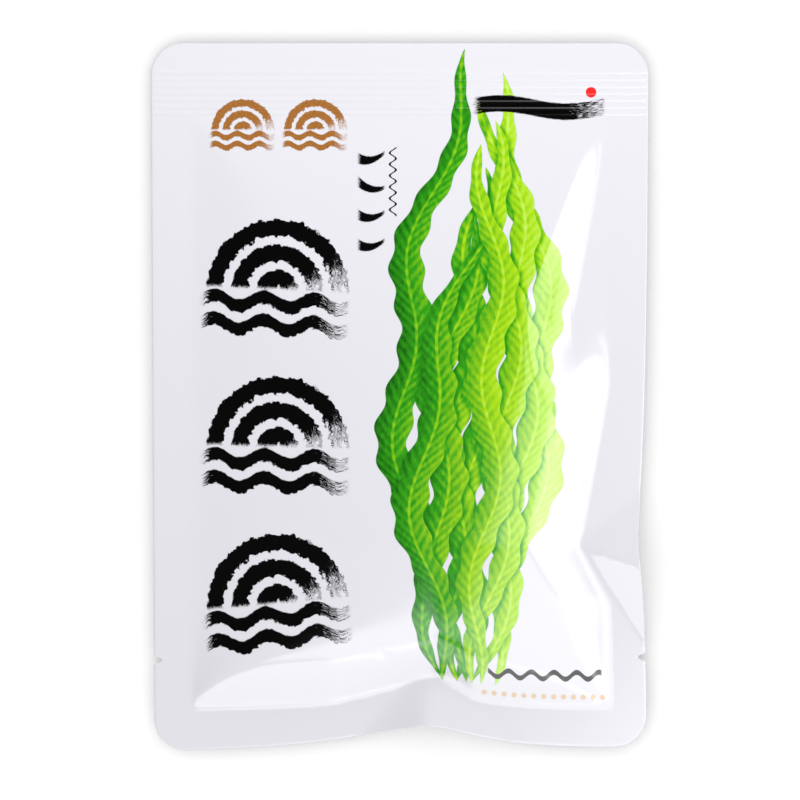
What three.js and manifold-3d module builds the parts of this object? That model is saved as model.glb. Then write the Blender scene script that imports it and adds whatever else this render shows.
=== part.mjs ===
// A sealed flat pouch of salted sea grapes seaweed, lying on its back. Millimetres, +Z up, +Y towards
// the ribbed top seal. The origin is under the middle of the pouch, on the surface that it lies on.
//
// Two sheets of white laminate, front and back, are heat-sealed to each other all the way round.
// The fronds of seaweed lie side by side between them.

import * as THREE from "three";
import { mergeVertices } from "three/addons/utils/BufferGeometryUtils.js";
import Module from "manifold-3d";

const wasm = await Module();
wasm.setup();

// The cut sheet and its seals
const WIDTH = 130;
const LENGTH = 184.8;
const CORNER_RADIUS = 8.5;
const FILM = 0.3;
const SEAL_GAP = 0.05;
const SIDE_SEAL = 9.8;
const BOTTOM_SEAL = 11;
const TOP_SEAL = 18.5;
const HALF_WIDTH = WIDTH / 2;
const HALF_LENGTH = LENGTH / 2;

// Tear notches, one in each side seal
const NOTCH_Y = -68.7;
const NOTCH_DEPTH = 2.1;
const NOTCH_HALF_HEIGHT = 1.05;
const NOTCH_REACH = 4.8;

// How far the filling would lift the front above the seal, and how far in from each seal the slope
// up from it reaches. A start is how far in the film takes to leave the seal. Where two slopes meet
// they make a hip.
const FRONT_RISE = 10.5;
const REACH_LEFT = 42;
const REACH_LEFT_CORNER = 22;
const REACH_RIGHT = 22;
const REACH_TOP = 66;
const SOFT_START = 5;
const SHARP_START = 0.6;
const TOP_START = 1;
const HIP_SHARPNESS = 6;

// The bottom is a flat facet up to a shoulder, and the lower right corner one slope of its own
const BOTTOM_SLOPE = 0.4;
const BOTTOM_SHOULDER = 4.4;
const REACH_SHOULDER = 75;
const CORNER_SLOPE = 0.2;
const CORNER_TO_Y = -45;

// On the upper right the front leaves the seal with a low lip, and climbs from there over a width that
// narrows towards the top
const SOFTENS_FROM_Y = -7;
const SOFT_FROM_Y = 23;
const SOFT_TO_Y = 70;
const SOFT_RISE_FROM = 9;
const SOFT_RISE_WIDTH = 15;
const SOFT_RISE_WIDTH_UP = 6.5;
const LIP = 0.25;
const REACH_LIP = 12;

// The back sags from the seal to the surface below, and lies flat on it once it has landed
const BACK_SLOPE = 15;
const BACK_LANDS = 0.93;

// Height of the seal over the surface below: it climbs from the empty top to the filled middle
const SEAL_HEIGHT_TOP = 2.6;
const SEAL_HEIGHT = 3.4;
const SEAL_CLIMB = 0.5;

// The cut edge is drawn in where the sealed rim buckles. Each pull has its deepest place, its depth,
// how far it spreads to the low and the high side, and how sharply it starts on either.
const BOTTOM_PULL = { at: 6.4, depth: 6.3, low: 24, high: 17.5, lowPower: 1.28, highPower: 1.5 };
const RIGHT_PULL = { at: -37.6, depth: 2.5, low: 18.5, high: 33, lowPower: 1.3, highPower: 1.05 };
const PULL_ROUND = 2;
const PULL_FADE = 20;
const LEFT_TAPER = 1.1;
const RIGHT_TAPER = 0.5;
const RIGHT_LIFT = 1;
const MIDDLE_Y = 0.13;

// A fold in the rim rises from its apex to the edge, wider and higher the further it goes. The one in
// the bottom is a round ridge with hollow flanks, and the one in the right side has a sharp crest.
const BOTTOM_FOLD = {
  apex: [9, -73],
  towards: -97,
  slope: 0.42,
  start: 3,
  flareLow: 0.7,
  flareHigh: 1.6,
  crestRound: 3,
  hollow: 1.6,
};
const RIGHT_FOLD = {
  apex: [47, -38.4],
  towards: -19,
  slope: 0.24,
  start: 0.8,
  flareLow: 0.75,
  flareHigh: 1.6,
  crestRound: 0,
  hollow: 1,
};

// Each fold's apex pushes the foot of the slope in from the seal, less and less to either side
const BOTTOM_FOOT = { at: 9, depth: 4.4, low: 27, high: 10 };
const RIGHT_FOOT = { at: -38.4, depth: 7, low: 15, high: 42 };

const LEAST = 0.001;

const clamp01 = (t) => Math.min(1, Math.max(0, t));
const smooth = (t) => clamp01(t) ** 2 * (3 - 2 * clamp01(t));
const rise = (t) => 1 - (1 - clamp01(t)) ** 2;
const mix = THREE.MathUtils.lerp;

function pull(along, { at, depth, low, high, lowPower, highPower }) {
  const away = Math.hypot(along - at, PULL_ROUND) - PULL_ROUND;
  const bell = along < at ? (away / low) ** lowPower : (away / high) ** highPower;
  return depth * Math.exp(-bell);
}

// The flat cut sheet, (u, v) over its whole rectangle, with round corners and tear notches
function cutSheet(u, v) {
  const cornerX = Math.abs(u) - (HALF_WIDTH - CORNER_RADIUS);
  const cornerY = Math.abs(v) - (HALF_LENGTH - CORNER_RADIUS);
  if (cornerX > 0 && cornerY > 0) {
    const round = Math.max(cornerX, cornerY) / Math.hypot(cornerX, cornerY);
    return [
      Math.sign(u) * (HALF_WIDTH - CORNER_RADIUS + cornerX * round),
      Math.sign(v) * (HALF_LENGTH - CORNER_RADIUS + cornerY * round),
    ];
  }
  const open = Math.max(0, 1 - Math.abs(v - NOTCH_Y) / NOTCH_HALF_HEIGHT);
  const nearEdge = clamp01((Math.abs(u) - (HALF_WIDTH - NOTCH_REACH)) / NOTCH_REACH);
  return [u - Math.sign(u) * NOTCH_DEPTH * open * nearEdge, v];
}

// Where a point of the cut sheet lies once the rim has buckled
function layFlat(u, v) {
  const [cutU, cutV] = cutSheet(u, v);
  const down = (HALF_LENGTH - cutV) / LENGTH;
  const across = (HALF_WIDTH + cutU) / WIDTH;
  const nearLeft = Math.exp(-(HALF_WIDTH + cutU) / PULL_FADE);
  const nearRight = Math.exp(-(HALF_WIDTH - cutU) / PULL_FADE);
  const nearBottom = Math.exp(-(HALF_LENGTH + cutV) / PULL_FADE);
  const fromRight = RIGHT_TAPER * down + pull(cutV, RIGHT_PULL);
  return [
    cutU + LEFT_TAPER * down * nearLeft - fromRight * nearRight,
    cutV + RIGHT_LIFT * across * down + pull(cutU, BOTTOM_PULL) * nearBottom - MIDDLE_Y,
  ];
}

function fold(x, y, tent) {
  const [apexX, apexY] = tent.apex;
  const crestX = Math.cos(THREE.MathUtils.degToRad(tent.towards));
  const crestY = Math.sin(THREE.MathUtils.degToRad(tent.towards));
  const along = Math.max(0, (x - apexX) * crestX + (y - apexY) * crestY);
  const across = (y - apexY) * crestX - (x - apexX) * crestY;
  const width = tent.start + along * (across < 0 ? tent.flareLow : tent.flareHigh);
  const away = Math.hypot(across, tent.crestRound) - tent.crestRound;
  return tent.slope * along * clamp01(1 - away / width) ** tent.hollow;
}

function sealHeight(x, y, v) {
  const down = (HALF_LENGTH - v) / LENGTH;
  const level = mix(SEAL_HEIGHT_TOP, SEAL_HEIGHT, smooth(down / SEAL_CLIMB));
  return level + fold(x, y, BOTTOM_FOLD) + fold(x, y, RIGHT_FOLD);
}

// How far a fold's apex pushes the foot of the slope inwards
function footInset(along, { at, depth, low, high }) {
  const away = along - at;
  return depth * clamp01(1 - (away < 0 ? -away / low : away / high));
}

// The share of the full rise at a distance in from the foot of a slope
function slope(inward, reach, start) {
  const from = Math.max(LEAST, inward);
  return 1 - Math.exp(-(from ** 2 / (from + start)) / reach);
}

// The lowest of the shares, a little less where two are near each other, so that a hip comes out round
function lowest(shares) {
  const sum = shares.reduce((total, one) => total + one ** -HIP_SHARPNESS, 0);
  return sum ** (-1 / HIP_SHARPNESS);
}

// How far the front stands over the seal
function frontRise(x, y, u, v) {
  const fromLeft = u + HALF_WIDTH - SIDE_SEAL;
  const fromRight = HALF_WIDTH - SIDE_SEAL - u - footInset(y, RIGHT_FOOT);
  const fromBottom = v + HALF_LENGTH - BOTTOM_SEAL - footInset(x, BOTTOM_FOOT);
  const fromTop = HALF_LENGTH - TOP_SEAL - v;
  const corner = smooth((y - CORNER_TO_Y) / (BOTTOM_SEAL - HALF_LENGTH - CORNER_TO_Y));
  const slopes = [
    slope(fromLeft, mix(REACH_LEFT, REACH_LEFT_CORNER, corner), mix(SOFT_START, SHARP_START, corner)),
    slope(fromTop, REACH_TOP, TOP_START),
    (BOTTOM_SLOPE * Math.max(LEAST, fromBottom)) / FRONT_RISE,
    mix(BOTTOM_SHOULDER / FRONT_RISE, 1, slope(fromBottom, REACH_SHOULDER, SOFT_START)),
    (CORNER_SLOPE * Math.max(LEAST, fromRight + fromBottom)) / Math.SQRT2 / FRONT_RISE,
  ];
  const sharp = lowest([...slopes, slope(fromRight, REACH_RIGHT, SHARP_START)]);
  const upwards = clamp01((y - SOFT_FROM_Y) / (SOFT_TO_Y - SOFT_FROM_Y));
  const pastLip = fromRight - mix(SOFT_RISE_FROM, 0, upwards);
  const climb = smooth(pastLip / mix(SOFT_RISE_WIDTH, SOFT_RISE_WIDTH_UP, upwards));
  const soft = lowest(slopes) * mix(climb, slope(fromRight, REACH_LIP, SOFT_START), LIP);
  return FRONT_RISE * mix(sharp, soft, smooth((y - SOFTENS_FROM_Y) / (SOFT_FROM_Y - SOFTENS_FROM_Y)));
}

// How much of the way down to the surface below the back has sagged
function backSag(u, v) {
  const slopes =
    rise((HALF_WIDTH - SIDE_SEAL - Math.abs(u)) / BACK_SLOPE) *
    rise((v + HALF_LENGTH - BOTTOM_SEAL) / BACK_SLOPE) *
    rise((HALF_LENGTH - TOP_SEAL - v) / BACK_SLOPE);
  return clamp01(slopes / BACK_LANDS);
}

// The inner face of each film. The outer face is a film's thickness above or below it.
function frontInside(x, y, u, v) {
  return sealHeight(x, y, v) + SEAL_GAP / 2 + frontRise(x, y, u, v);
}

function backInside(x, y, u, v) {
  return mix(sealHeight(x, y, v) - SEAL_GAP / 2, FILM, backSag(u, v));
}

// Grid lines over the sheet, closer together where it is cut, sealed or bent. Those at the rim are
// given inwards from the cut edge, and those between by their place.
const RIM_LINES = [0, 1.6, NOTCH_REACH, CORNER_RADIUS];
const SIDE_LINES = [...RIM_LINES, SIDE_SEAL];
const BOTTOM_LINES = [...RIM_LINES, BOTTOM_SEAL];
const TOP_LINES = [...RIM_LINES, TOP_SEAL];
const NOTCH_LINES = [NOTCH_Y - NOTCH_HALF_HEIGHT, NOTCH_Y, NOTCH_Y + NOTCH_HALF_HEIGHT];
const COLUMNS = [
  ...SIDE_LINES.map((inward) => inward - HALF_WIDTH),
  ...[-52, -46, -38, -29, -19, -9, 0, 5, 9, 13, 19, 26, 33, 39, 44, 48, 52],
  ...SIDE_LINES.map((inward) => HALF_WIDTH - inward),
].sort((a, b) => a - b);
const ROWS = [
  ...BOTTOM_LINES.map((inward) => inward - HALF_LENGTH),
  ...NOTCH_LINES,
  ...[-78.5, -75, -72, -64, -59, -54, -49, -44, -41, -38.4, -35, -30, -23, -13, 0, 14, 28, 42, 55, 66, 79],
  ...TOP_LINES.map((inward) => HALF_LENGTH - inward),
].sort((a, b) => a - b);

// The grid is laid on the film's upper face, then on its lower face turned over, and closed round the
// cut edge. Both faces are split into triangles alike.
function filmSheet(upper, lower) {
  const grid = new THREE.PlaneGeometry(1, 1, COLUMNS.length - 1, ROWS.length - 1);
  const flat = grid.getAttribute("position");
  const count = flat.count;
  const points = new Float32Array(count * 6);
  for (let i = 0; i < count; i++) {
    const u = COLUMNS[Math.round((flat.getX(i) + 0.5) * (COLUMNS.length - 1))];
    const v = ROWS[Math.round((flat.getY(i) + 0.5) * (ROWS.length - 1))];
    const [x, y] = layFlat(u, v);
    points.set([x, y, upper(x, y, u, v)], i * 3);
    points.set([x, y, lower(x, y, u, v)], (count + i) * 3);
  }
  const corners = Array.from(grid.index.array);
  const edges = new Set();
  const triangles = [];
  for (let i = 0; i < corners.length; i += 3) {
    const [a, b, c] = corners.slice(i, i + 3);
    triangles.push(a, b, c, a + count, c + count, b + count);
    edges.add(`${a} ${b}`).add(`${b} ${c}`).add(`${c} ${a}`);
  }
  for (const edge of edges) {
    const [a, b] = edge.split(" ").map(Number);
    const inner = edges.has(`${b} ${a}`);
    if (!inner) triangles.push(b, a, a + count, b, a + count, b + count);
  }
  const sheet = new THREE.BufferGeometry();
  sheet.setAttribute("position", new THREE.BufferAttribute(points, 3));
  sheet.setIndex(triangles);
  sheet.computeVertexNormals();
  return sheet;
}

function filmPanel(name, colour, upper, lower) {
  const laminate = new THREE.MeshStandardMaterial({ color: colour, roughness: 0.2, metalness: 0 });
  const panel = new THREE.Mesh(filmSheet(upper, lower), laminate);
  panel.name = name;
  return panel;
}

// Fronds of sea grapes: a soft stem, set all round with round berries on short stalks
const FRONDS = [
  { x: -30, from: -60, to: 20 },
  { x: -18, from: -64, to: 36 },
  { x: -6, from: -63, to: 42 },
  { x: 6, from: -58, to: 44 },
  { x: 18, from: -64, to: 42 },
  { x: 30, from: -60, to: 32 },
];
const STEM_RADIUS = 0.8;
const STEM_SIDES = 5;
const STEM_STEPS = 9;
const STEM_HEIGHT = 3.95;
const STEM_BENDS = 6;
const SWAY = { size: 1.3, turns: 5, shift: 1.7 };
const RIPPLE = { size: 0.25, turns: 9, shift: 1 };
const RING_PITCH = 9;
const BERRIES_IN_RING = 3;
const BERRY_RADIUS = 1.4;
const BERRY_REACH = 2.05;
const STALK_ROOT = 0.35;
const END_RING = 0.4;
const END_BERRY = 0.8;

function toManifold(geometry) {
  geometry.deleteAttribute("normal");
  geometry.deleteAttribute("uv");
  const merged = mergeVertices(geometry, 1e-4);
  return new wasm.Manifold(
    new wasm.Mesh({
      numProp: 3,
      vertProperties: new Float32Array(merged.getAttribute("position").array),
      triVerts: new Uint32Array(merged.index.array),
    }),
  );
}

function fromManifold(solid) {
  const { vertProperties, triVerts } = solid.getMesh();
  const geometry = new THREE.BufferGeometry();
  geometry.setAttribute("position", new THREE.BufferAttribute(new Float32Array(vertProperties), 3));
  geometry.setIndex(new THREE.BufferAttribute(new Uint32Array(triVerts), 1));
  geometry.computeVertexNormals();
  return geometry;
}

function stemPath({ x, from, to }, number) {
  const points = [];
  for (let i = 0; i <= STEM_BENDS; i++) {
    const along = i / STEM_BENDS;
    const sway = SWAY.size * Math.sin(along * SWAY.turns + number * SWAY.shift);
    const ripple = RIPPLE.size * Math.sin(along * RIPPLE.turns + number * RIPPLE.shift);
    points.push(new THREE.Vector3(x + sway, mix(from, to, along), STEM_HEIGHT + ripple));
  }
  return new THREE.CatmullRomCurve3(points);
}

function stemSolid(path) {
  const round = new THREE.EllipseCurve(0, 0, STEM_RADIUS, STEM_RADIUS);
  const section = new THREE.Shape(round.getPoints(STEM_SIDES).slice(0, -1));
  const along = { steps: STEM_STEPS, extrudePath: path, bevelEnabled: false };
  return toManifold(new THREE.ExtrudeGeometry(section, along));
}

// A round berry whose inmost corner is drawn out to a point, the stalk, that is rooted in the stem
function berrySolid(stemPoint, outward, size) {
  const berry = new THREE.IcosahedronGeometry(BERRY_RADIUS * size, 0);
  const place = berry.getAttribute("position");
  const inmost = new THREE.Vector3().fromBufferAttribute(place, 0);
  const turn = new THREE.Quaternion();
  turn.setFromUnitVectors(inmost.clone().normalize(), outward.clone().negate());
  for (let i = 0; i < place.count; i++) {
    const point = new THREE.Vector3().fromBufferAttribute(place, i);
    if (point.distanceTo(inmost) < LEAST) point.copy(outward).multiplyScalar(STALK_ROOT);
    else point.applyQuaternion(turn).addScaledVector(outward, BERRY_REACH * size);
    point.add(stemPoint);
    place.setXYZ(i, point.x, point.y, point.z);
  }
  return toManifold(berry);
}

function frondSolid(frond, number) {
  const path = stemPath(frond, number);
  const gaps = Math.floor(path.getLength() / RING_PITCH);
  let solid = stemSolid(path);
  for (let ring = 0; ring <= gaps; ring++) {
    const stemPoint = path.getPointAt((ring + END_RING) / (gaps + 2 * END_RING));
    const size = ring === 0 || ring === gaps ? END_BERRY : 1;
    for (let k = 0; k < BERRIES_IN_RING; k++) {
      const angle = (2 * Math.PI * (k + (ring % 2) / 2)) / BERRIES_IN_RING + number;
      const outward = new THREE.Vector3(Math.cos(angle), 0, Math.sin(angle));
      solid = solid.add(berrySolid(stemPoint, outward, size));
    }
  }
  return solid;
}

const frondGreen = new THREE.MeshStandardMaterial({ color: 0x3f8f1a, roughness: 0.3, metalness: 0 });

const pouch = new THREE.Group();
pouch.add(filmPanel("front_film", 0xeeeef4, (...at) => frontInside(...at) + FILM, frontInside));
pouch.add(filmPanel("back_film", 0xe6e6ec, backInside, (...at) => backInside(...at) - FILM));
FRONDS.forEach((frond, number) => {
  const mesh = new THREE.Mesh(fromManifold(frondSolid(frond, number)), frondGreen);
  mesh.name = `sea_grape_frond_${number + 1}`;
  pouch.add(mesh);
});

export default pouch;
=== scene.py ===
import math

import bmesh
import bpy
from mathutils import Matrix, Vector, noise


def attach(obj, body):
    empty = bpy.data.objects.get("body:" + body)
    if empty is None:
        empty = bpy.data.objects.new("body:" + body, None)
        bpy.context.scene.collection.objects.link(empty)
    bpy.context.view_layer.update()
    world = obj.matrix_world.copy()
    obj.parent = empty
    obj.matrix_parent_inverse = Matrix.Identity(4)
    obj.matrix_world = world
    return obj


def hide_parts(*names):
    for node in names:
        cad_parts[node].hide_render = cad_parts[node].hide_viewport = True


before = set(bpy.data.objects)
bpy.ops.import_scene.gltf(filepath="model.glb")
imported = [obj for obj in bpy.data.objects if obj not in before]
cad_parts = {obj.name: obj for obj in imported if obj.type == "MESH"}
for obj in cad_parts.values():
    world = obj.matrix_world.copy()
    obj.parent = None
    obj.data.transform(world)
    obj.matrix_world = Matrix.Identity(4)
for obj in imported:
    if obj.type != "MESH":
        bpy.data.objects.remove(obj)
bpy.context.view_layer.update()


# Front film. A sheet of white laminate, cut with round corners and heat-sealed to the back film all
# round. The filling bulges it, and the seal cooled with two buckles in it, one in the bottom edge and
# one in the right side. Sizes are in millimetres, with (u, v) on the flat sheet and (x, y) as it lies.
MM = 0.001
WIDTH = 130
LENGTH = 184.8
HALF_WIDTH = WIDTH / 2
HALF_LENGTH = LENGTH / 2
CORNER_RADIUS = 8.5
SIDE_SEAL = 9.8
BOTTOM_SEAL = 11
TOP_SEAL = 18.5

NOTCH_Y = -68.7
NOTCH_DEPTH = 2.1
NOTCH_HALF_HEIGHT = 1.05
NOTCH_REACH = 4.8

SEAL_HEIGHT_TOP = 2.6
SEAL_HEIGHT = 3.4
SEAL_CLIMB = 0.5
BOTTOM_PULL = {"at": 6.4, "depth": 6.3, "low": 24, "high": 17.5, "low_power": 1.28, "high_power": 1.5}
RIGHT_PULL = {"at": -37.6, "depth": 2.5, "low": 18.5, "high": 33, "low_power": 1.3, "high_power": 1.05}
PULL_ROUND = 2
PULL_FADE = 20
LEFT_TAPER = 1.1
RIGHT_TAPER = 0.5
RIGHT_LIFT = 1
MIDDLE_Y = 0.13
BOTTOM_FOLD = {
    "x": 9, "y": -73, "towards": -97, "slope": 0.42, "start": 3, "flare_low": 0.7, "flare_high": 1.6,
    "crest_round": 3, "hollow": 1.6,
}
RIGHT_FOLD = {
    "x": 47, "y": -38.4, "towards": -19, "slope": 0.24, "start": 0.8, "flare_low": 0.75, "flare_high": 1.6,
    "crest_round": 0, "hollow": 1,
}


def clamp01(t):
    return min(1.0, max(0.0, t))


def smooth(t):
    return clamp01(t) ** 2 * (3 - 2 * clamp01(t))


def rise(t):
    return 1 - (1 - clamp01(t)) ** 2


def mix(a, b, share):
    return a + (b - a) * share


def pull(along, edge):
    away = math.hypot(along - edge["at"], PULL_ROUND) - PULL_ROUND
    if along < edge["at"]:
        return edge["depth"] * math.exp(-((away / edge["low"]) ** edge["low_power"]))
    return edge["depth"] * math.exp(-((away / edge["high"]) ** edge["high_power"]))


def cut_sheet(u, v):
    corner_x = abs(u) - (HALF_WIDTH - CORNER_RADIUS)
    corner_y = abs(v) - (HALF_LENGTH - CORNER_RADIUS)
    if corner_x > 0 and corner_y > 0:
        around = max(corner_x, corner_y) / math.hypot(corner_x, corner_y)
        cut_u = math.copysign(HALF_WIDTH - CORNER_RADIUS + corner_x * around, u)
        return cut_u, math.copysign(HALF_LENGTH - CORNER_RADIUS + corner_y * around, v)
    gape = clamp01(1 - ((v - NOTCH_Y) / NOTCH_HALF_HEIGHT) ** 2)
    near_edge = clamp01((abs(u) - (HALF_WIDTH - NOTCH_REACH)) / NOTCH_REACH)
    return u - math.copysign(NOTCH_DEPTH * gape * near_edge, u), v


def lay_flat(u, v):
    cut_u, cut_v = cut_sheet(u, v)
    down = (HALF_LENGTH - cut_v) / LENGTH
    across = (HALF_WIDTH + cut_u) / WIDTH
    near_left = math.exp(-(HALF_WIDTH + cut_u) / PULL_FADE)
    near_right = math.exp(-(HALF_WIDTH - cut_u) / PULL_FADE)
    near_bottom = math.exp(-(HALF_LENGTH + cut_v) / PULL_FADE)
    from_right = RIGHT_TAPER * down + pull(cut_v, RIGHT_PULL)
    x = cut_u + LEFT_TAPER * down * near_left - from_right * near_right
    y = cut_v + RIGHT_LIFT * across * down + pull(cut_u, BOTTOM_PULL) * near_bottom - MIDDLE_Y
    return x, y


def fold(x, y, tent):
    crest_x, crest_y = math.cos(math.radians(tent["towards"])), math.sin(math.radians(tent["towards"]))
    along = max(0, (x - tent["x"]) * crest_x + (y - tent["y"]) * crest_y)
    across = (y - tent["y"]) * crest_x - (x - tent["x"]) * crest_y
    width = tent["start"] + along * (tent["flare_low"] if across < 0 else tent["flare_high"])
    away = math.hypot(across, tent["crest_round"]) - tent["crest_round"]
    return tent["slope"] * along * clamp01(1 - away / width) ** tent["hollow"]


def seal_height(x, y, v):
    down = (HALF_LENGTH - v) / LENGTH
    level = mix(SEAL_HEIGHT_TOP, SEAL_HEIGHT, smooth(down / SEAL_CLIMB))
    return level + fold(x, y, BOTTOM_FOLD) + fold(x, y, RIGHT_FOLD)


# Pressed ribs run across the top seal, and the cut edge is rolled down a little all round
RIB_FIRST = 84.8
RIB_PITCH = 1.81
RIBS = 7
RIB_HEIGHT = 0.11
RIB_HALF_WIDTH = 0.42
RIB_END = 1.5
ROLL_WIDTH = 0.7
ROLL_DROP = 0.05
FILM = 0.15
SEAL_LIFT = FILM + 0.01


def rib_height(u, v):
    nearest = round((RIB_FIRST - v) / RIB_PITCH)
    if nearest < 0 or nearest >= RIBS:
        return 0.0
    away = (RIB_FIRST - nearest * RIB_PITCH - v) / RIB_HALF_WIDTH
    side = smooth((HALF_WIDTH - abs(u)) / RIB_END)
    return RIB_HEIGHT * math.exp(-(away**2)) * side


def edge_roll(u, v):
    inward = min(HALF_WIDTH - abs(u), HALF_LENGTH - abs(v))
    return ROLL_DROP * (1 - clamp01(inward / ROLL_WIDTH)) ** 2


# Grid rows and columns of the sheet: from where each band starts, and how many cells it has
FINE_RIM = 1.6
NOTCH_BAND = 1.5
RIBS_FROM = RIB_FIRST - 13
RIBS_TO = RIB_FIRST + 1.4
ROW_BANDS = [
    (-HALF_LENGTH, 6), (FINE_RIM - HALF_LENGTH, 18), (NOTCH_Y - NOTCH_BAND, 14), (NOTCH_Y + NOTCH_BAND, 112),
    (RIBS_FROM, 66), (RIBS_TO, 6), (HALF_LENGTH - FINE_RIM, 5), (HALF_LENGTH, 0),
]
COLUMN_BANDS = [
    (-HALF_WIDTH, 5), (FINE_RIM - HALF_WIDTH, 9), (NOTCH_REACH - HALF_WIDTH, 128),
    (HALF_WIDTH - NOTCH_REACH, 9), (HALF_WIDTH - FINE_RIM, 5), (HALF_WIDTH, 0),
]


def grid_lines(bands):
    lines = []
    for (start, cells), (end, _) in zip(bands, bands[1:]):
        lines += [mix(start, end, i / cells) for i in range(cells)]
    return lines + [bands[-1][0]]


def film_sheet(name, height):
    """A fine sheet laid out as the cut laminate, with height(x, y, u, v) as the film's outer face."""
    columns = grid_lines(COLUMN_BANDS)
    rows = grid_lines(ROW_BANDS)
    sheet = bmesh.new()
    bmesh.ops.create_grid(sheet, x_segments=len(columns) - 1, y_segments=len(rows) - 1, size=0.5)
    print_map = sheet.loops.layers.uv.new("print")
    flat = {}
    for vert in sheet.verts:
        u = columns[round((vert.co.x + 0.5) * (len(columns) - 1))]
        v = rows[round((vert.co.y + 0.5) * (len(rows) - 1))]
        x, y = lay_flat(u, v)
        flat[vert] = cut_sheet(u, v)
        vert.co = Vector((x, y, height(x, y, u, v))) * MM
    for face in sheet.faces:
        face.smooth = True
        for loop in face.loops:
            u, v = flat[loop.vert]
            loop[print_map].uv = (0.5 + u / LENGTH, 0.5 + v / LENGTH)
    mesh = bpy.data.meshes.new(name)
    sheet.to_mesh(mesh)
    sheet.free()
    film = bpy.data.objects.new(name, mesh)
    bpy.context.scene.collection.objects.link(film)
    thick = film.modifiers.new("laminate", "SOLIDIFY")
    thick.thickness = FILM * MM
    thick.offset = -1
    return film


# The bulge: a slope up from each seal, with hips where they meet. Along the bottom it is a flat facet
# up to a shoulder, in the lower right corner one wide slope, and on the upper right it starts softly.
# The foot of the slopes is pushed in where the folds end.
LEAST = 0.001
FRONT_RISE = 10.5
REACH_LEFT = 42
REACH_LEFT_CORNER = 22
REACH_RIGHT = 22
REACH_TOP = 66
SOFT_START = 5
SHARP_START = 0.6
TOP_START = 1
BOTTOM_SLOPE = 0.4
BOTTOM_SHOULDER = 4.4
REACH_SHOULDER = 75
CORNER_SLOPE = 0.2
CORNER_TO_Y = -45
SOFTENS_FROM_Y = -7
SOFT_FROM_Y = 23
SOFT_TO_Y = 70
SOFT_RISE_FROM = 9
SOFT_RISE_WIDTH = 15
SOFT_RISE_WIDTH_UP = 6.5
LIP = 0.25
REACH_LIP = 12
HIP_SHARPNESS = 6
BOTTOM_FOOT = {"at": 9, "depth": 4.4, "low": 27, "high": 10}
RIGHT_FOOT = {"at": -38.4, "depth": 7, "low": 15, "high": 42}
WAVINESS = 0.22
WAVE_LENGTH = 26
WAVE_SEED = 3.1
WAVES_FROM_RISE = 3

# Small dents in the front, each a short groove
DENTS = [
    {"x": 48, "y": 5.6, "towards": 25, "half_length": 1.6, "half_width": 0.6, "depth": 0.1},
    {"x": 44.8, "y": -49.6, "towards": -63, "half_length": 3.5, "half_width": 0.9, "depth": 0.08},
    {"x": 13.6, "y": -76.4, "towards": -35, "half_length": 4.5, "half_width": 0.8, "depth": 0.12},
    {"x": -5.2, "y": -66.5, "towards": -40, "half_length": 4, "half_width": 1.2, "depth": 0.09},
]


def foot_inset(along, foot):
    away = along - foot["at"]
    reach = foot["low"] if away < 0 else foot["high"]
    return foot["depth"] * clamp01(1 - abs(away) / reach)


def slope(inward, reach, start):
    away = max(LEAST, inward)
    return 1 - math.exp(-(away**2 / (away + start)) / reach)


def lowest(shares):
    """The lowest of them, a little less where two are near each other, so that a hip comes out round."""
    return sum(one**-HIP_SHARPNESS for one in shares) ** (-1 / HIP_SHARPNESS)


def front_rise(x, y, u, v):
    from_left = u + HALF_WIDTH - SIDE_SEAL
    from_right = HALF_WIDTH - SIDE_SEAL - u - foot_inset(y, RIGHT_FOOT)
    from_bottom = v + HALF_LENGTH - BOTTOM_SEAL - foot_inset(x, BOTTOM_FOOT)
    from_top = HALF_LENGTH - TOP_SEAL - v
    corner = smooth((y - CORNER_TO_Y) / (BOTTOM_SEAL - HALF_LENGTH - CORNER_TO_Y))
    slopes = [
        slope(from_left, mix(REACH_LEFT, REACH_LEFT_CORNER, corner), mix(SOFT_START, SHARP_START, corner)),
        slope(from_top, REACH_TOP, TOP_START),
        BOTTOM_SLOPE * max(LEAST, from_bottom) / FRONT_RISE,
        mix(BOTTOM_SHOULDER / FRONT_RISE, 1, slope(from_bottom, REACH_SHOULDER, SOFT_START)),
        CORNER_SLOPE * max(LEAST, from_right + from_bottom) / math.sqrt(2) / FRONT_RISE,
    ]
    sharp = lowest([*slopes, slope(from_right, REACH_RIGHT, SHARP_START)])
    upwards = clamp01((y - SOFT_FROM_Y) / (SOFT_TO_Y - SOFT_FROM_Y))
    past_lip = from_right - mix(SOFT_RISE_FROM, 0, upwards)
    climb = smooth(past_lip / mix(SOFT_RISE_WIDTH, SOFT_RISE_WIDTH_UP, upwards))
    soft = lowest(slopes) * mix(climb, slope(from_right, REACH_LIP, SOFT_START), LIP)
    return FRONT_RISE * mix(sharp, soft, smooth((y - SOFTENS_FROM_Y) / (SOFT_FROM_Y - SOFTENS_FROM_Y)))


def dent_depth(x, y, dent):
    ahead_x, ahead_y = math.cos(math.radians(dent["towards"])), math.sin(math.radians(dent["towards"]))
    along = ((x - dent["x"]) * ahead_x + (y - dent["y"]) * ahead_y) / dent["half_length"]
    across = ((y - dent["y"]) * ahead_x - (x - dent["x"]) * ahead_y) / dent["half_width"]
    return dent["depth"] * math.exp(-(along**2) - across**2)


def front_height(x, y, u, v):
    rising = front_rise(x, y, u, v)
    wave = WAVINESS * noise.noise(Vector((x / WAVE_LENGTH, y / WAVE_LENGTH, WAVE_SEED)))
    wave *= clamp01(rising / WAVES_FROM_RISE)
    dented = sum(dent_depth(x, y, dent) for dent in DENTS)
    return seal_height(x, y, v) + SEAL_LIFT + rising + wave - dented + rib_height(u, v) - edge_roll(u, v)


front = film_sheet("printed_front", front_height)
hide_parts("front_film")
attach(front, "root")


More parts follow.
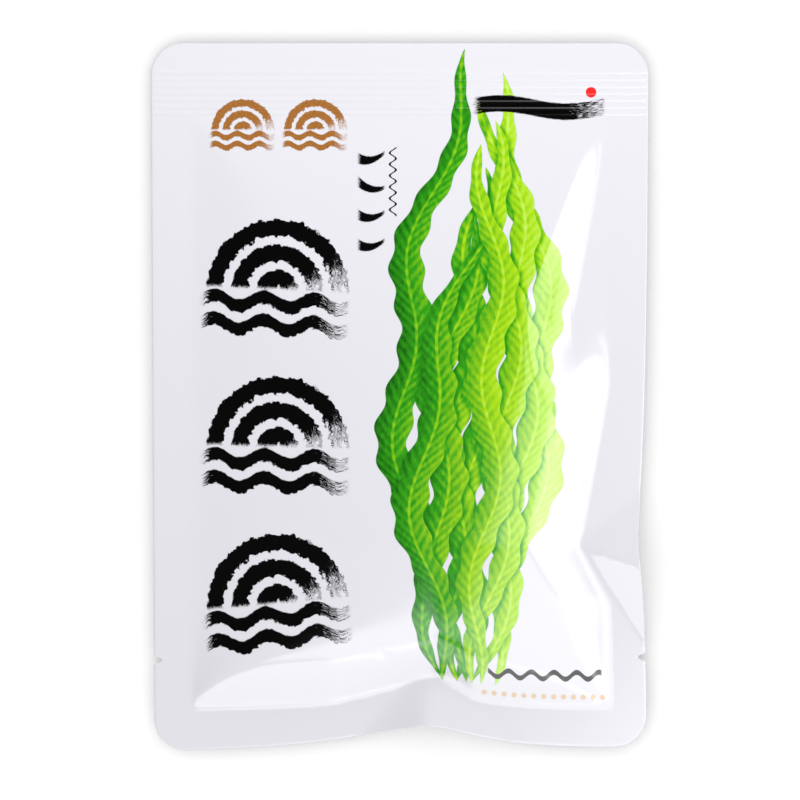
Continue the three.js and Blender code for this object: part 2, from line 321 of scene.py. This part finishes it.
# Print on the front. Ink under the clear outer layer: ribbon weed in greens from the bottom up the
# right side, and brushed fans over waves in black and orange down the left. Places are millimetres
# on the flat sheet.
class Reading:
    """A number that the nodes work out at each point of the sheet."""

    def __init__(self, socket):
        self.socket = socket

    def __add__(self, other):
        return reckon("ADD", self, other)

    def __sub__(self, other):
        return reckon("SUBTRACT", self, other)

    def __rsub__(self, other):
        return reckon("SUBTRACT", other, self)

    def __mul__(self, other):
        return reckon("MULTIPLY", self, other)

    def __truediv__(self, other):
        return reckon("DIVIDE", self, other)

    def __pow__(self, other):
        return reckon("POWER", self, other)

    __radd__ = __add__
    __rmul__ = __mul__


def plug(value, socket):
    if isinstance(value, Reading):
        value = value.socket
    if isinstance(value, bpy.types.NodeSocket):
        socket.id_data.links.new(value, socket)
    else:
        socket.default_value = value


def new_node(kind, *values):
    """A node in the tree that its values come from, with those values plugged into its first inputs."""
    tree = next(value.socket.id_data for value in values if isinstance(value, Reading))
    node = tree.nodes.new(kind)
    for value, socket in zip(values, node.inputs):
        plug(value, socket)
    return node


def reckon(operation, *values):
    node = new_node("ShaderNodeMath", *values)
    node.operation = operation
    return Reading(node.outputs[0])


def sine(value):
    return reckon("SINE", value)


def distance(u, v):
    return (u * u + v * v) ** 0.5


def ramp(value, start, end):
    """0 up to start and 1 past end, smooth between them."""
    node = new_node("ShaderNodeMapRange", value, start, end)
    node.interpolation_type = "SMOOTHSTEP"
    return Reading(node.outputs["Result"])


def within(value, low, high, soft=0.3):
    return ramp(value, low - soft, low + soft) * ramp(value, high + soft, high - soft)


def repeated(value, start, pitch):
    """The same few millimetres over and over: from 0 to pitch, from the start on."""
    return reckon("FRACT", (value - start) / pitch) * pitch


def grain(u, v, patch_u, patch_v):
    """Noise over the sheet, about -0.5 to 0.5, in patches of the given size."""
    place = new_node("ShaderNodeCombineXYZ", u / patch_u, v / patch_v)
    cloud = new_node("ShaderNodeTexNoise", Reading(place.outputs[0]))
    cloud.noise_dimensions = "2D"
    return Reading(cloud.outputs["Fac"]) - 0.5


def stencil(name, takes, gives, draw):
    """A group of nodes that works out what draw returns, made once and printed many times."""
    group = bpy.data.node_groups.new(name, "ShaderNodeTree")
    for one in takes:
        group.interface.new_socket(one, in_out="INPUT", socket_type="NodeSocketFloat")
    for one in gives:
        group.interface.new_socket(one, in_out="OUTPUT", socket_type="NodeSocketFloat")
    entry = group.nodes.new("NodeGroupInput")
    results = draw(*[Reading(entry.outputs[one]) for one in takes])
    leaving = group.nodes.new("NodeGroupOutput")
    for one, result in zip(gives, results):
        plug(result, leaving.inputs[one])
    return group


def stamp(group, *values):
    node = new_node("ShaderNodeGroup", *values)
    node.node_tree = group
    for value, socket in zip(values, node.inputs):
        plug(value, socket)
    return [Reading(socket) for socket in node.outputs]


BLADES = 9
BLADE_ROOT_U = 17
BLADE_ROOT_V = -77
LONGEST_BLADE = 168
SHORTEST_BLADE = 118
SIDE_STEP = 4
LENGTH_STEP = 5
ROOT_SPREAD = 5
SWELL = 15
BLADE_LEAN = 5
BLADES_MEET = 3
BLADE_HALF_WIDTH = 4.6
BLADE_FULLNESS = 0.6
BLADE_EDGE = 0.22
WANDER = {"size": 3, "turns": 0.12, "shift": 2.1}
RUFFLE = {"size": 0.16, "turns": 0.62, "shift": 1.7}
SHADOW = {"tone": 0.45, "width": 1.6}
VEINS = {"tone": 0.07, "turns": 2.2, "slant": 2.6}
MIDRIB = {"tone": 0.22, "outer": 0.55, "inner": 0.2}
BLOTCHES = {"tone": 0.3, "wide": 5, "long": 9}
MIDDLE_TONE = 0.5
TONE_ACROSS = 0.045
TONE_BY_SIDE = 0.26


def draw_blade(u, v, length, side, number):
    """A ruffled blade: how far it covers the sheet, how dark its shadow is, and its tone from 0 to 1."""
    along = reckon("MINIMUM", reckon("MAXIMUM", (v - BLADE_ROOT_V) / length, 0), 1)
    swell = sine(along * math.pi)
    wander = sine(v * WANDER["turns"] + number * WANDER["shift"]) * WANDER["size"]
    middle = side * ROOT_SPREAD + BLADE_ROOT_U + swell * side * SWELL
    middle = middle + along * (BLADE_LEAN - side * BLADES_MEET) + wander
    ruffle = sine(v * RUFFLE["turns"] + number * RUFFLE["shift"]) * RUFFLE["size"]
    half = (swell**BLADE_FULLNESS) * BLADE_HALF_WIDTH * (ruffle + 1)
    across = u - middle
    away = reckon("ABSOLUTE", across)
    cover = ramp(half - away, 0, BLADE_EDGE)
    shadow = ramp(half - away, -SHADOW["width"], 0) * SHADOW["tone"]
    veins = sine(v * VEINS["turns"] - away * VEINS["slant"]) * VEINS["tone"]
    midrib = ramp(away, MIDRIB["outer"], MIDRIB["inner"]) * MIDRIB["tone"]
    blotches = grain(u, v, BLOTCHES["wide"], BLOTCHES["long"]) * BLOTCHES["tone"]
    tone = veins + midrib + blotches + across * TONE_ACROSS + side * TONE_BY_SIDE + MIDDLE_TONE
    return cover, shadow, tone


laminate = bpy.data.materials.new("printed_laminate")
laminate.use_nodes = True
inks = laminate.node_tree
print_map = inks.nodes.new("ShaderNodeUVMap")
print_map.uv_map = "print"
place_on_print = inks.nodes.new("ShaderNodeSeparateXYZ")
inks.links.new(print_map.outputs["UV"], place_on_print.inputs[0])
sheet_u = (Reading(place_on_print.outputs["X"]) - 0.5) * LENGTH
sheet_v = (Reading(place_on_print.outputs["Y"]) - 0.5) * LENGTH

BLADE_TAKES = ("u", "v", "length", "side", "number")
ribbon_blade = stencil("ribbon_blade", BLADE_TAKES, ("cover", "shadow", "tone"), draw_blade)
green_cover = sheet_v * 0
green_tone = green_cover
for number in range(BLADES):
    side = (number * SIDE_STEP % BLADES) / (BLADES - 1) * 2 - 1
    length = mix(LONGEST_BLADE, SHORTEST_BLADE, (number * LENGTH_STEP % BLADES) / (BLADES - 1))
    cover, shadow, tone = stamp(ribbon_blade, sheet_u, sheet_v, length, side, number)
    green_tone = green_tone * (1 - shadow)
    green_tone = green_tone + (tone - green_tone) * cover
    green_cover = reckon("MAXIMUM", green_cover, cover)

# A brush starts a stroke full of ink and ends it dry, with the sheet showing between its bristles
FRAY = 0.6
BRUSH_EDGE = 0.25
INK_IN_BRUSH = 0.55
INK_USED = 0.62
BRISTLE = 0.5


def brushed(away, half_width, bristles, dryness):
    edge = ramp(half_width - away + bristles * FRAY, 0, BRUSH_EDGE)
    return edge * ramp(bristles + INK_IN_BRUSH - dryness * INK_USED, -0.03, 0.05)


FAN_RINGS = 3
RING_PITCH = 6.6
RING_HALF_WIDTH = 2.3
FOOT_FROM = 0.4
FOOT_TO = 0.9
FAN_RADIUS = FAN_RINGS * RING_PITCH
WAVE_PITCH = 6
WAVE_HALF_WIDTH = 1.9
WAVES_FROM_U = -19
WAVES_TO_U = 19.5
WAVES_DEEP = 2 * WAVE_PITCH
ROLLING = {"size": 1.3, "turns": 0.48}
WOBBLE = {"size": 2.4, "patch": 8}
WOBBLE_OF_WIDTH = 0.25
WOBBLE_OF_WAVES = 0.5


def draw_fan(u, v):
    """Half rings over two wavy strokes, about 40 mm wide and 32 mm high."""
    wobble = grain(u, v, WOBBLE["patch"], WOBBLE["patch"]) * WOBBLE["size"]
    wider = wobble * WOBBLE_OF_WIDTH
    reach = distance(u, v) + wobble
    turn = reckon("ARCTAN2", v, u)
    ring = reckon("ABSOLUTE", repeated(reach, 0, RING_PITCH) - RING_PITCH / 2)
    ring_bristles = grain(reach, turn * 8, BRISTLE, 9)
    rings = brushed(ring, RING_HALF_WIDTH + wider, ring_bristles, ramp(turn, 1.1, 0))
    foot = ramp(v + ring_bristles * 2.5, FOOT_FROM, FOOT_TO)
    rings = rings * within(reach, 1, FAN_RADIUS, 0.2) * foot
    swell = v + sine(u * ROLLING["turns"]) * ROLLING["size"] + wobble * WOBBLE_OF_WAVES
    stroke = reckon("ABSOLUTE", repeated(swell, 0, WAVE_PITCH) - WAVE_PITCH / 2)
    wave_bristles = grain(u, swell, 11, BRISTLE)
    waves = brushed(stroke, WAVE_HALF_WIDTH + wider, wave_bristles, ramp(u, 2, FAN_RADIUS))
    waves = waves * within(swell, -WAVES_DEEP, 0)
    waves = waves * within(u + wave_bristles * 6, WAVES_FROM_U, WAVES_TO_U)
    return [reckon("MAXIMUM", rings, waves)]


fan_over_waves = stencil("fan_over_waves", ("u", "v"), ("cover",), draw_fan)

FAN_ROWS = 3
FAN_ROW = 41
FANS_FROM = -68
FANS_MIDDLE = -32
FAN_BASE = 13.5
FAN_TILT = {"size": 0.1, "turns": 2.4, "shift": 1}
fan_row = reckon("FLOOR", (sheet_v - FANS_FROM) / FAN_ROW)
fan_tilt = sine(fan_row * FAN_TILT["turns"] + FAN_TILT["shift"]) * FAN_TILT["size"]
fan_u = sheet_u - FANS_MIDDLE
fan_v = repeated(sheet_v, FANS_FROM, FAN_ROW) - FAN_BASE
(fans,) = stamp(fan_over_waves, fan_u + fan_v * fan_tilt, fan_v - fan_u * fan_tilt)
fans = fans * within(sheet_v, FANS_FROM, FANS_FROM + FAN_ROWS * FAN_ROW)

SMALL_FAN = 0.44
SMALL_FAN_PITCH = 19
SMALL_FANS = 2
SMALL_FANS_FROM = -50.5
SMALL_FANS_V = 69.5
SMALL_FANS_LOW = 8
SMALL_FANS_HIGH = 10
small_u = (repeated(sheet_u, SMALL_FANS_FROM, SMALL_FAN_PITCH) - SMALL_FAN_PITCH / 2) / SMALL_FAN
(small_fans,) = stamp(fan_over_waves, small_u, (sheet_v - SMALL_FANS_V) / SMALL_FAN)
small_fans_to = SMALL_FANS_FROM + SMALL_FANS * SMALL_FAN_PITCH
small_fans = small_fans * within(sheet_u, SMALL_FANS_FROM, small_fans_to)
small_fans = small_fans * within(sheet_v, SMALL_FANS_V - SMALL_FANS_LOW, SMALL_FANS_V + SMALL_FANS_HIGH)

# A column of short bowed strokes, each leaning its own way
CUT_CLEAN = 0.01
STROKES = 4
STROKES_U = -7.5
STROKES_FROM = 35.5
STROKE_PITCH = 7.6
STROKE_V = 3.4
STROKE_BOW = 0.1
STROKE_TAPER = 0.14
STROKE_HALF_WIDTH = 1.1
STROKE_LEAN = {"size": 0.25, "turns": 2.2, "shift": 0.6}
stroke_u = sheet_u - STROKES_U
stroke_row = reckon("FLOOR", (sheet_v - STROKES_FROM) / STROKE_PITCH)
stroke_lean = sine(stroke_row * STROKE_LEAN["turns"] + STROKE_LEAN["shift"]) * STROKE_LEAN["size"]
stroke_v = repeated(sheet_v, STROKES_FROM, STROKE_PITCH) - STROKE_V
stroke_v = stroke_v - stroke_u * stroke_lean - stroke_u * stroke_u * STROKE_BOW
stroke_bristles = grain(stroke_u, stroke_v, 4, 0.3)
stroke_half_width = STROKE_HALF_WIDTH - stroke_u * STROKE_TAPER
stroke_dryness = ramp(stroke_u, 0.5, 5)
strokes = brushed(reckon("ABSOLUTE", stroke_v), stroke_half_width, stroke_bristles, stroke_dryness)
strokes = strokes * within(stroke_u + stroke_bristles * 2, -3.2, 3.6)
strokes = strokes * within(sheet_v, STROKES_FROM, STROKES_FROM + STROKES * STROKE_PITCH, CUT_CLEAN)

# A thin wave beside the strokes, and a wavy line at the lower right
THIN_WAVE = {"u": -1.8, "size": 0.8, "turns": 2.1, "outer": 0.36, "inner": 0.22, "from": 47, "to": 65}
WAVY_LINE = {"v": -73.5, "size": 0.9, "turns": 1.05, "outer": 0.8, "inner": 0.6, "from": 23, "to": 53}


def wavy(across, along, line):
    """A line that waves to and fro about the place where across is 0."""
    away = reckon("ABSOLUTE", across + sine(along * line["turns"]) * line["size"])
    return ramp(away, line["outer"], line["inner"]) * within(along, line["from"], line["to"])


thin_wave = wavy(sheet_u - THIN_WAVE["u"], sheet_v, THIN_WAVE)
wavy_line = wavy(sheet_v - WAVY_LINE["v"], sheet_u, WAVY_LINE)

# A brush swipe at the upper right
SWIPE = {"v": 75.5, "size": 1.1, "turns": 0.18, "half_width": 2.3, "from": 20, "to": 54}
SWIPE_DRIES_FROM = 34
SWIPE_DRY_AT = 56
swipe_v = sheet_v - SWIPE["v"] + sine(sheet_u * SWIPE["turns"]) * SWIPE["size"]
swipe_bristles = grain(sheet_u, swipe_v, 10, 0.45)
swipe_dryness = ramp(sheet_u, SWIPE_DRIES_FROM, SWIPE_DRY_AT)
swipe = brushed(reckon("ABSOLUTE", swipe_v), SWIPE["half_width"], swipe_bristles, swipe_dryness)
swipe = swipe * within(sheet_u + swipe_bristles * 5, SWIPE["from"], SWIPE["to"])

black_cover = fans
for mark in (strokes, thin_wave, swipe, wavy_line):
    black_cover = reckon("MAXIMUM", black_cover, mark)

# A row of small dots under the wavy line, and one red dot over the swipe
DOT_PITCH = 2.6
DOT_RADIUS = 0.7
DOTS_V = -79.2
DOTS_FROM = 8
DOTS_TO = 21
RED_DOT = {"u": 50, "v": 79.5, "radius": 1.4}
DOT_EDGE = 0.1


def dot(u, v, radius):
    return ramp(distance(u, v), radius + DOT_EDGE, radius - DOT_EDGE)


dots = dot(repeated(sheet_u, 0, DOT_PITCH) - DOT_PITCH / 2, sheet_v - DOTS_V, DOT_RADIUS)
dots = dots * within(sheet_u, DOTS_FROM * DOT_PITCH, DOTS_TO * DOT_PITCH, CUT_CLEAN)
red_dot = dot(sheet_u - RED_DOT["u"], sheet_v - RED_DOT["v"], RED_DOT["radius"])


def colour_ramp(value, stops):
    node = new_node("ShaderNodeValToRGB", value)
    while len(node.color_ramp.elements) < len(stops):
        node.color_ramp.elements.new(0.5)
    for element, (place, colour) in zip(node.color_ramp.elements, stops):
        element.position = place
        element.color = (*colour, 1)
    return node.outputs["Color"]


def inked(under, colour, cover):
    """The colour under it where cover is 0, and this ink's colour where it is 1."""
    node = new_node("ShaderNodeMixRGB", cover)
    plug(under, node.inputs["Color1"])
    plug(colour, node.inputs["Color2"])
    return node.outputs["Color"]


WHITE = (0.474, 0.470, 0.502, 1)
BLACK = (0.0005, 0.0005, 0.0005, 1)
PALE_ORANGE = (0.45, 0.33, 0.21, 1)
RED = (0.55, 0.01, 0.01, 1)
SPECKLE = 1.1
GREENS = (
    (0, (0.003, 0.08, 0.001)),
    (0.3, (0.02, 0.22, 0.003)),
    (0.75, (0.25, 0.45, 0.003)),
    (1, (0.32, 0.50, 0.07)),
)
ORANGES = ((0.45, (0.175, 0.058, 0.002)), (0.62, (0.32, 0.145, 0.045)))

printed = inked(WHITE, colour_ramp(green_tone, GREENS), green_cover)
printed = inked(printed, BLACK, black_cover)
speckle = grain(sheet_u, sheet_v, SPECKLE, SPECKLE) + 0.5
printed = inked(printed, colour_ramp(speckle, ORANGES), small_fans)
printed = inked(printed, PALE_ORANGE, dots)
printed = inked(printed, RED, red_dot)
shader = inks.nodes["Principled BSDF"]
inks.links.new(printed, shader.inputs["Base Color"])


FILM_IOR = 1.62
COAT_ROUGHNESS = 0.1
GLOSSIEST = 0.11
DULLEST = 0.19
SMUDGES_PER_METRE = 55
RIPPLES_PER_METRE = 320
RIPPLE_DEPTH = 0.02
RIPPLE_STRENGTH = 0.35


def film_gloss(tree, shader):
    """The laminate's gloss: a little uneven, with the fine ripple of rolled film."""
    shader.inputs["IOR"].default_value = FILM_IOR
    shader.inputs["Coat Weight"].default_value = 1
    shader.inputs["Coat Roughness"].default_value = COAT_ROUGHNESS
    place = tree.nodes.new("ShaderNodeTexCoord")
    smudge = tree.nodes.new("ShaderNodeTexNoise")
    smudge.inputs["Scale"].default_value = SMUDGES_PER_METRE
    smudge.inputs["Detail"].default_value = 4
    gloss = tree.nodes.new("ShaderNodeMapRange")
    gloss.inputs["To Min"].default_value = GLOSSIEST
    gloss.inputs["To Max"].default_value = DULLEST
    ripple = tree.nodes.new("ShaderNodeTexNoise")
    ripple.inputs["Scale"].default_value = RIPPLES_PER_METRE
    ripple.inputs["Detail"].default_value = 3
    bump = tree.nodes.new("ShaderNodeBump")
    bump.inputs["Strength"].default_value = RIPPLE_STRENGTH
    bump.inputs["Distance"].default_value = RIPPLE_DEPTH * MM
    tree.links.new(place.outputs["Object"], smudge.inputs["Vector"])
    tree.links.new(place.outputs["Object"], ripple.inputs["Vector"])
    tree.links.new(smudge.outputs["Fac"], gloss.inputs["Value"])
    tree.links.new(gloss.outputs["Result"], shader.inputs["Roughness"])
    tree.links.new(ripple.outputs["Fac"], bump.inputs["Height"])
    tree.links.new(bump.outputs["Normal"], shader.inputs["Normal"])


film_gloss(inks, shader)
front.data.materials.append(laminate)


# Back film. The same laminate without print, sealed to the front. The filling presses it flat on the
# surface below, and it rises from there to the seal.
BACK_SLOPE = 15
BACK_LANDS = 0.93
BACK_EDGE_ROLL = 0.3
BACK_GREY = (0.44, 0.44, 0.47, 1)
CLOUDS_PER_METRE = 40


def back_height(x, y, u, v):
    slopes = (
        rise((HALF_WIDTH - SIDE_SEAL - abs(u)) / BACK_SLOPE)
        * rise((v + HALF_LENGTH - BOTTOM_SEAL) / BACK_SLOPE)
        * rise((HALF_LENGTH - TOP_SEAL - v) / BACK_SLOPE)
    )
    sealed = seal_height(x, y, v) - SEAL_LIFT - rib_height(u, v) - edge_roll(u, v) * BACK_EDGE_ROLL
    return mix(sealed, 0, clamp01(slopes / BACK_LANDS))


back = film_sheet("plain_back", back_height)
for polygon in back.data.polygons:
    polygon.flip()
back_laminate = bpy.data.materials.new("plain_laminate")
back_laminate.use_nodes = True
whites = back_laminate.node_tree
back_shader = whites.nodes["Principled BSDF"]
back_place = whites.nodes.new("ShaderNodeTexCoord")
back_cloud = whites.nodes.new("ShaderNodeTexNoise")
back_cloud.inputs["Scale"].default_value = CLOUDS_PER_METRE
back_tint = whites.nodes.new("ShaderNodeValToRGB")
back_tint.color_ramp.elements[0].color = BACK_GREY
back_tint.color_ramp.elements[1].color = WHITE
whites.links.new(back_place.outputs["Object"], back_cloud.inputs["Vector"])
whites.links.new(back_cloud.outputs["Fac"], back_tint.inputs["Fac"])
whites.links.new(back_tint.outputs["Color"], back_shader.inputs["Base Color"])
film_gloss(whites, back_shader)
back.data.materials.append(back_laminate)
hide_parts("back_film")
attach(back, "root")


# Sea grape fronds. Six fresh stems lie side by side inside, each with round green berries crowded all
# round it on short stalks. They are soft, wet and half clear.
FRONDS = [
    {"x": -30, "from": -60, "to": 20},
    {"x": -18, "from": -64, "to": 36},
    {"x": -6, "from": -63, "to": 42},
    {"x": 6, "from": -58, "to": 44},
    {"x": 18, "from": -64, "to": 42},
    {"x": 30, "from": -60, "to": 32},
]
STEM_RADIUS = 0.8
STEM_HEIGHT = 3.95
STEM_SIDES = 10
STEM_STEP = 2
SWAY = {"size": 1.3, "turns": 5, "shift": 1.7}
RIPPLE = {"size": 0.25, "turns": 9, "shift": 1}
BERRY_RADIUS = 0.95
BERRY_REACH = 2.35
BERRY_PITCH = 2.5
BERRIES_IN_RING = 6
BERRY_TWIST = {"size": 0.2, "turns": 3}
END_BERRY = 0.7
END_RINGS = 4
END_GAP = 0.02
STALK_ROOT = 0.4
DARK_GREEN = (0.02, 0.14, 0.006, 1)
FRESH_GREEN = (0.14, 0.42, 0.02, 1)
SKIN_CLOUDS_PER_METRE = 260
WET = 0.12
HALF_CLEAR = 0.25

berry_skin = bpy.data.materials.new("sea_grape_skin")
berry_skin.use_nodes = True
skin = berry_skin.node_tree
skin_shader = skin.nodes["Principled BSDF"]
skin_place = skin.nodes.new("ShaderNodeTexCoord")
skin_cloud = skin.nodes.new("ShaderNodeTexNoise")
skin_cloud.inputs["Scale"].default_value = SKIN_CLOUDS_PER_METRE
skin_tint = skin.nodes.new("ShaderNodeValToRGB")
skin_tint.color_ramp.elements[0].color = DARK_GREEN
skin_tint.color_ramp.elements[1].color = FRESH_GREEN
skin.links.new(skin_place.outputs["Object"], skin_cloud.inputs["Vector"])
skin.links.new(skin_cloud.outputs["Fac"], skin_tint.inputs["Fac"])
skin.links.new(skin_tint.outputs["Color"], skin_shader.inputs["Base Color"])
skin_shader.inputs["Roughness"].default_value = WET
skin_shader.inputs["Transmission Weight"].default_value = HALF_CLEAR


def stem_point(frond, number, along):
    sway = SWAY["size"] * math.sin(along * SWAY["turns"] + number * SWAY["shift"])
    ripple = RIPPLE["size"] * math.sin(along * RIPPLE["turns"] + number * RIPPLE["shift"])
    return Vector((frond["x"] + sway, mix(frond["from"], frond["to"], along), STEM_HEIGHT + ripple))


def grow_stem(shape, frond, number):
    steps = round((frond["to"] - frond["from"]) / STEM_STEP)
    upright = Matrix.Rotation(math.radians(90), 4, "X")
    start = Matrix.Translation(stem_point(frond, number, 0))
    ring = bmesh.ops.create_circle(
        shape, cap_ends=True, radius=STEM_RADIUS, segments=STEM_SIDES, matrix=start @ upright)["verts"]
    edges = [edge for edge in shape.edges]
    last = stem_point(frond, number, 0)
    for step in range(1, steps + 1):
        grown = bmesh.ops.extrude_edge_only(shape, edges=edges)["geom"]
        ring = [one for one in grown if isinstance(one, bmesh.types.BMVert)]
        edges = [one for one in grown if isinstance(one, bmesh.types.BMEdge)]
        place = stem_point(frond, number, step / steps)
        bmesh.ops.translate(shape, vec=place - last, verts=ring)
        last = place
    bmesh.ops.contextual_create(shape, geom=edges)
    bmesh.ops.recalc_face_normals(shape, faces=shape.faces)


def first_berry(shape):
    """A round berry standing on the origin, with its lowest corner drawn out to a stalk."""
    middle = Matrix.Translation((0, 0, BERRY_REACH))
    verts = bmesh.ops.create_uvsphere(
        shape, u_segments=8, v_segments=6, radius=BERRY_RADIUS, matrix=middle)["verts"]
    lowest = min(verts, key=lambda vert: vert.co.z)
    lowest.co.z = STALK_ROOT
    return verts + list({edge for vert in verts for edge in vert.link_edges}) + list(
        {face for vert in verts for face in vert.link_faces})


def grow_berry(shape, berry, root, outward, size):
    copied = bmesh.ops.duplicate(shape, geom=berry)["geom"]
    verts = [one for one in copied if isinstance(one, bmesh.types.BMVert)]
    turn = Vector((0, 0, 1)).rotation_difference(outward).to_matrix().to_4x4()
    place = Matrix.Translation(root) @ turn @ Matrix.Scale(size, 4)
    bmesh.ops.transform(shape, matrix=place, verts=verts)


def sea_grape_frond(frond, number):
    shape = bmesh.new()
    grow_stem(shape, frond, number)
    berry = first_berry(shape)
    rings = round((frond["to"] - frond["from"]) / BERRY_PITCH)
    for ring in range(rings + 1):
        root = stem_point(frond, number, mix(END_GAP, 1 - END_GAP, ring / rings))
        size = mix(END_BERRY, 1, smooth(min(ring, rings - ring) / END_RINGS))
        twist = number + BERRY_TWIST["size"] * math.sin(ring * BERRY_TWIST["turns"])
        for k in range(BERRIES_IN_RING):
            angle = 2 * math.pi * (k + (ring % 2) / 2) / BERRIES_IN_RING + twist
            grow_berry(shape, berry, root, Vector((math.cos(angle), 0, math.sin(angle))), size)
    pattern = [one for one in berry if isinstance(one, bmesh.types.BMVert)]
    bmesh.ops.delete(shape, geom=pattern, context="VERTS")
    bmesh.ops.scale(shape, vec=(MM, MM, MM), verts=shape.verts)
    for face in shape.faces:
        face.smooth = True
    name = f"berry_frond_{number + 1}"
    mesh = bpy.data.meshes.new(name)
    shape.to_mesh(mesh)
    shape.free()
    piece = bpy.data.objects.new(name, mesh)
    bpy.context.scene.collection.objects.link(piece)
    piece.data.materials.append(berry_skin)
    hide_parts(f"sea_grape_frond_{number + 1}")
    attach(piece, "root")


for number, frond in enumerate(FRONDS):
    sea_grape_frond(frond, number)


# Stage. A plain white floor, a bright sky that the gloss hardly shows, and softboxes on the films: three
# that the gloss shows, and two low ones that it doesn't. One more lights the whole floor.
FLOOR_SIZE = 3
FLOOR_WHITE = (0.93, 0.93, 0.93, 1)
FLOOR_ROUGHNESS = 0.9
FLOOR_GLOW = 0.07
floor_sheet = bmesh.new()
bmesh.ops.create_grid(floor_sheet, x_segments=1, y_segments=1, size=FLOOR_SIZE)
floor_mesh = bpy.data.meshes.new("floor")
floor_sheet.to_mesh(floor_mesh)
floor_sheet.free()
floor = bpy.data.objects.new("floor", floor_mesh)
bpy.context.scene.collection.objects.link(floor)
floor_paint = bpy.data.materials.new("floor_paint")
floor_paint.use_nodes = True
floor_shader = floor_paint.node_tree.nodes["Principled BSDF"]
floor_shader.inputs["Base Color"].default_value = FLOOR_WHITE
floor_shader.inputs["Roughness"].default_value = FLOOR_ROUGHNESS
floor_shader.inputs["Emission Color"].default_value = (1, 1, 1, 1)
floor_shader.inputs["Emission Strength"].default_value = FLOOR_GLOW
floor.data.materials.append(floor_paint)

SKY = 1.02
SKY_IN_GLOSS = 0.02
world = bpy.data.worlds.new("studio")
bpy.context.scene.world = world
world.use_nodes = True
sky = world.node_tree.nodes["Background"]
sky.inputs["Color"].default_value = (1, 1, 1, 1)
ray = world.node_tree.nodes.new("ShaderNodeLightPath")
dimmed = world.node_tree.nodes.new("ShaderNodeMapRange")
dimmed.inputs["To Min"].default_value = SKY
dimmed.inputs["To Max"].default_value = SKY_IN_GLOSS
world.node_tree.links.new(ray.outputs["Is Glossy Ray"], dimmed.inputs["Value"])
world.node_tree.links.new(dimmed.outputs["Result"], sky.inputs["Strength"])

films = bpy.data.collections.new("lit_by_softboxes")
films.objects.link(front)
films.objects.link(back)


def softbox(name, azimuth, elevation, distance, wide, high, radiance, lights_only=None):
    """A rectangle of soft light aimed at the pouch. Its strength is given as how bright it looks."""
    light = bpy.data.lights.new(name, "AREA")
    light.shape = "RECTANGLE"
    light.size = wide
    light.size_y = high
    light.energy = 4 * radiance * wide * high
    box = bpy.data.objects.new(name, light)
    bpy.context.scene.collection.objects.link(box)
    a, e = math.radians(azimuth), math.radians(elevation)
    place = Vector((math.cos(a) * math.cos(e), math.sin(a) * math.cos(e), math.sin(e))) * distance
    box.location = place
    box.rotation_euler = (-place).to_track_quat("-Z", "Y").to_euler()
    box.light_linking.receiver_collection = lights_only
    return box


softbox("right_softbox", 0, 50, 1.2, 0.65, 0.52, 1.85, films)
softbox("corner_softbox", -46, 64, 1.2, 0.9, 0.72, 1.25, films)
softbox("near_softbox", -110, 48, 1.2, 1.5, 0.52, 1.35, films)
softbox("shadow_softbox", -110, 48, 1.2, 1.5, 0.52, 0.65)
low_softboxes = (
    softbox("far_low_softbox", 88, 30, 0.32, 0.3, 0.2, 2.7, films),
    softbox("right_low_softbox", -8, 28, 0.3, 0.3, 0.2, 0.85, films),
)
for box in low_softboxes:
    box.visible_glossy = False

bpy.context.scene.view_settings.view_transform = "Standard"

# Camera. It looks straight down from far off, and the picture is as wide as this at the floor
PICTURE_WIDTH = 209.4 * MM
PICTURE_MIDDLE = (0.07 * MM, -0.92 * MM)
LENS = 200
SENSOR = 36
camera_data = bpy.data.cameras.new("camera")
camera_data.lens = LENS
camera_data.sensor_width = SENSOR
camera = bpy.data.objects.new("camera", camera_data)
bpy.context.scene.collection.objects.link(camera)
camera.location = (*PICTURE_MIDDLE, PICTURE_WIDTH * LENS / SENSOR)
bpy.context.scene.camera = camera
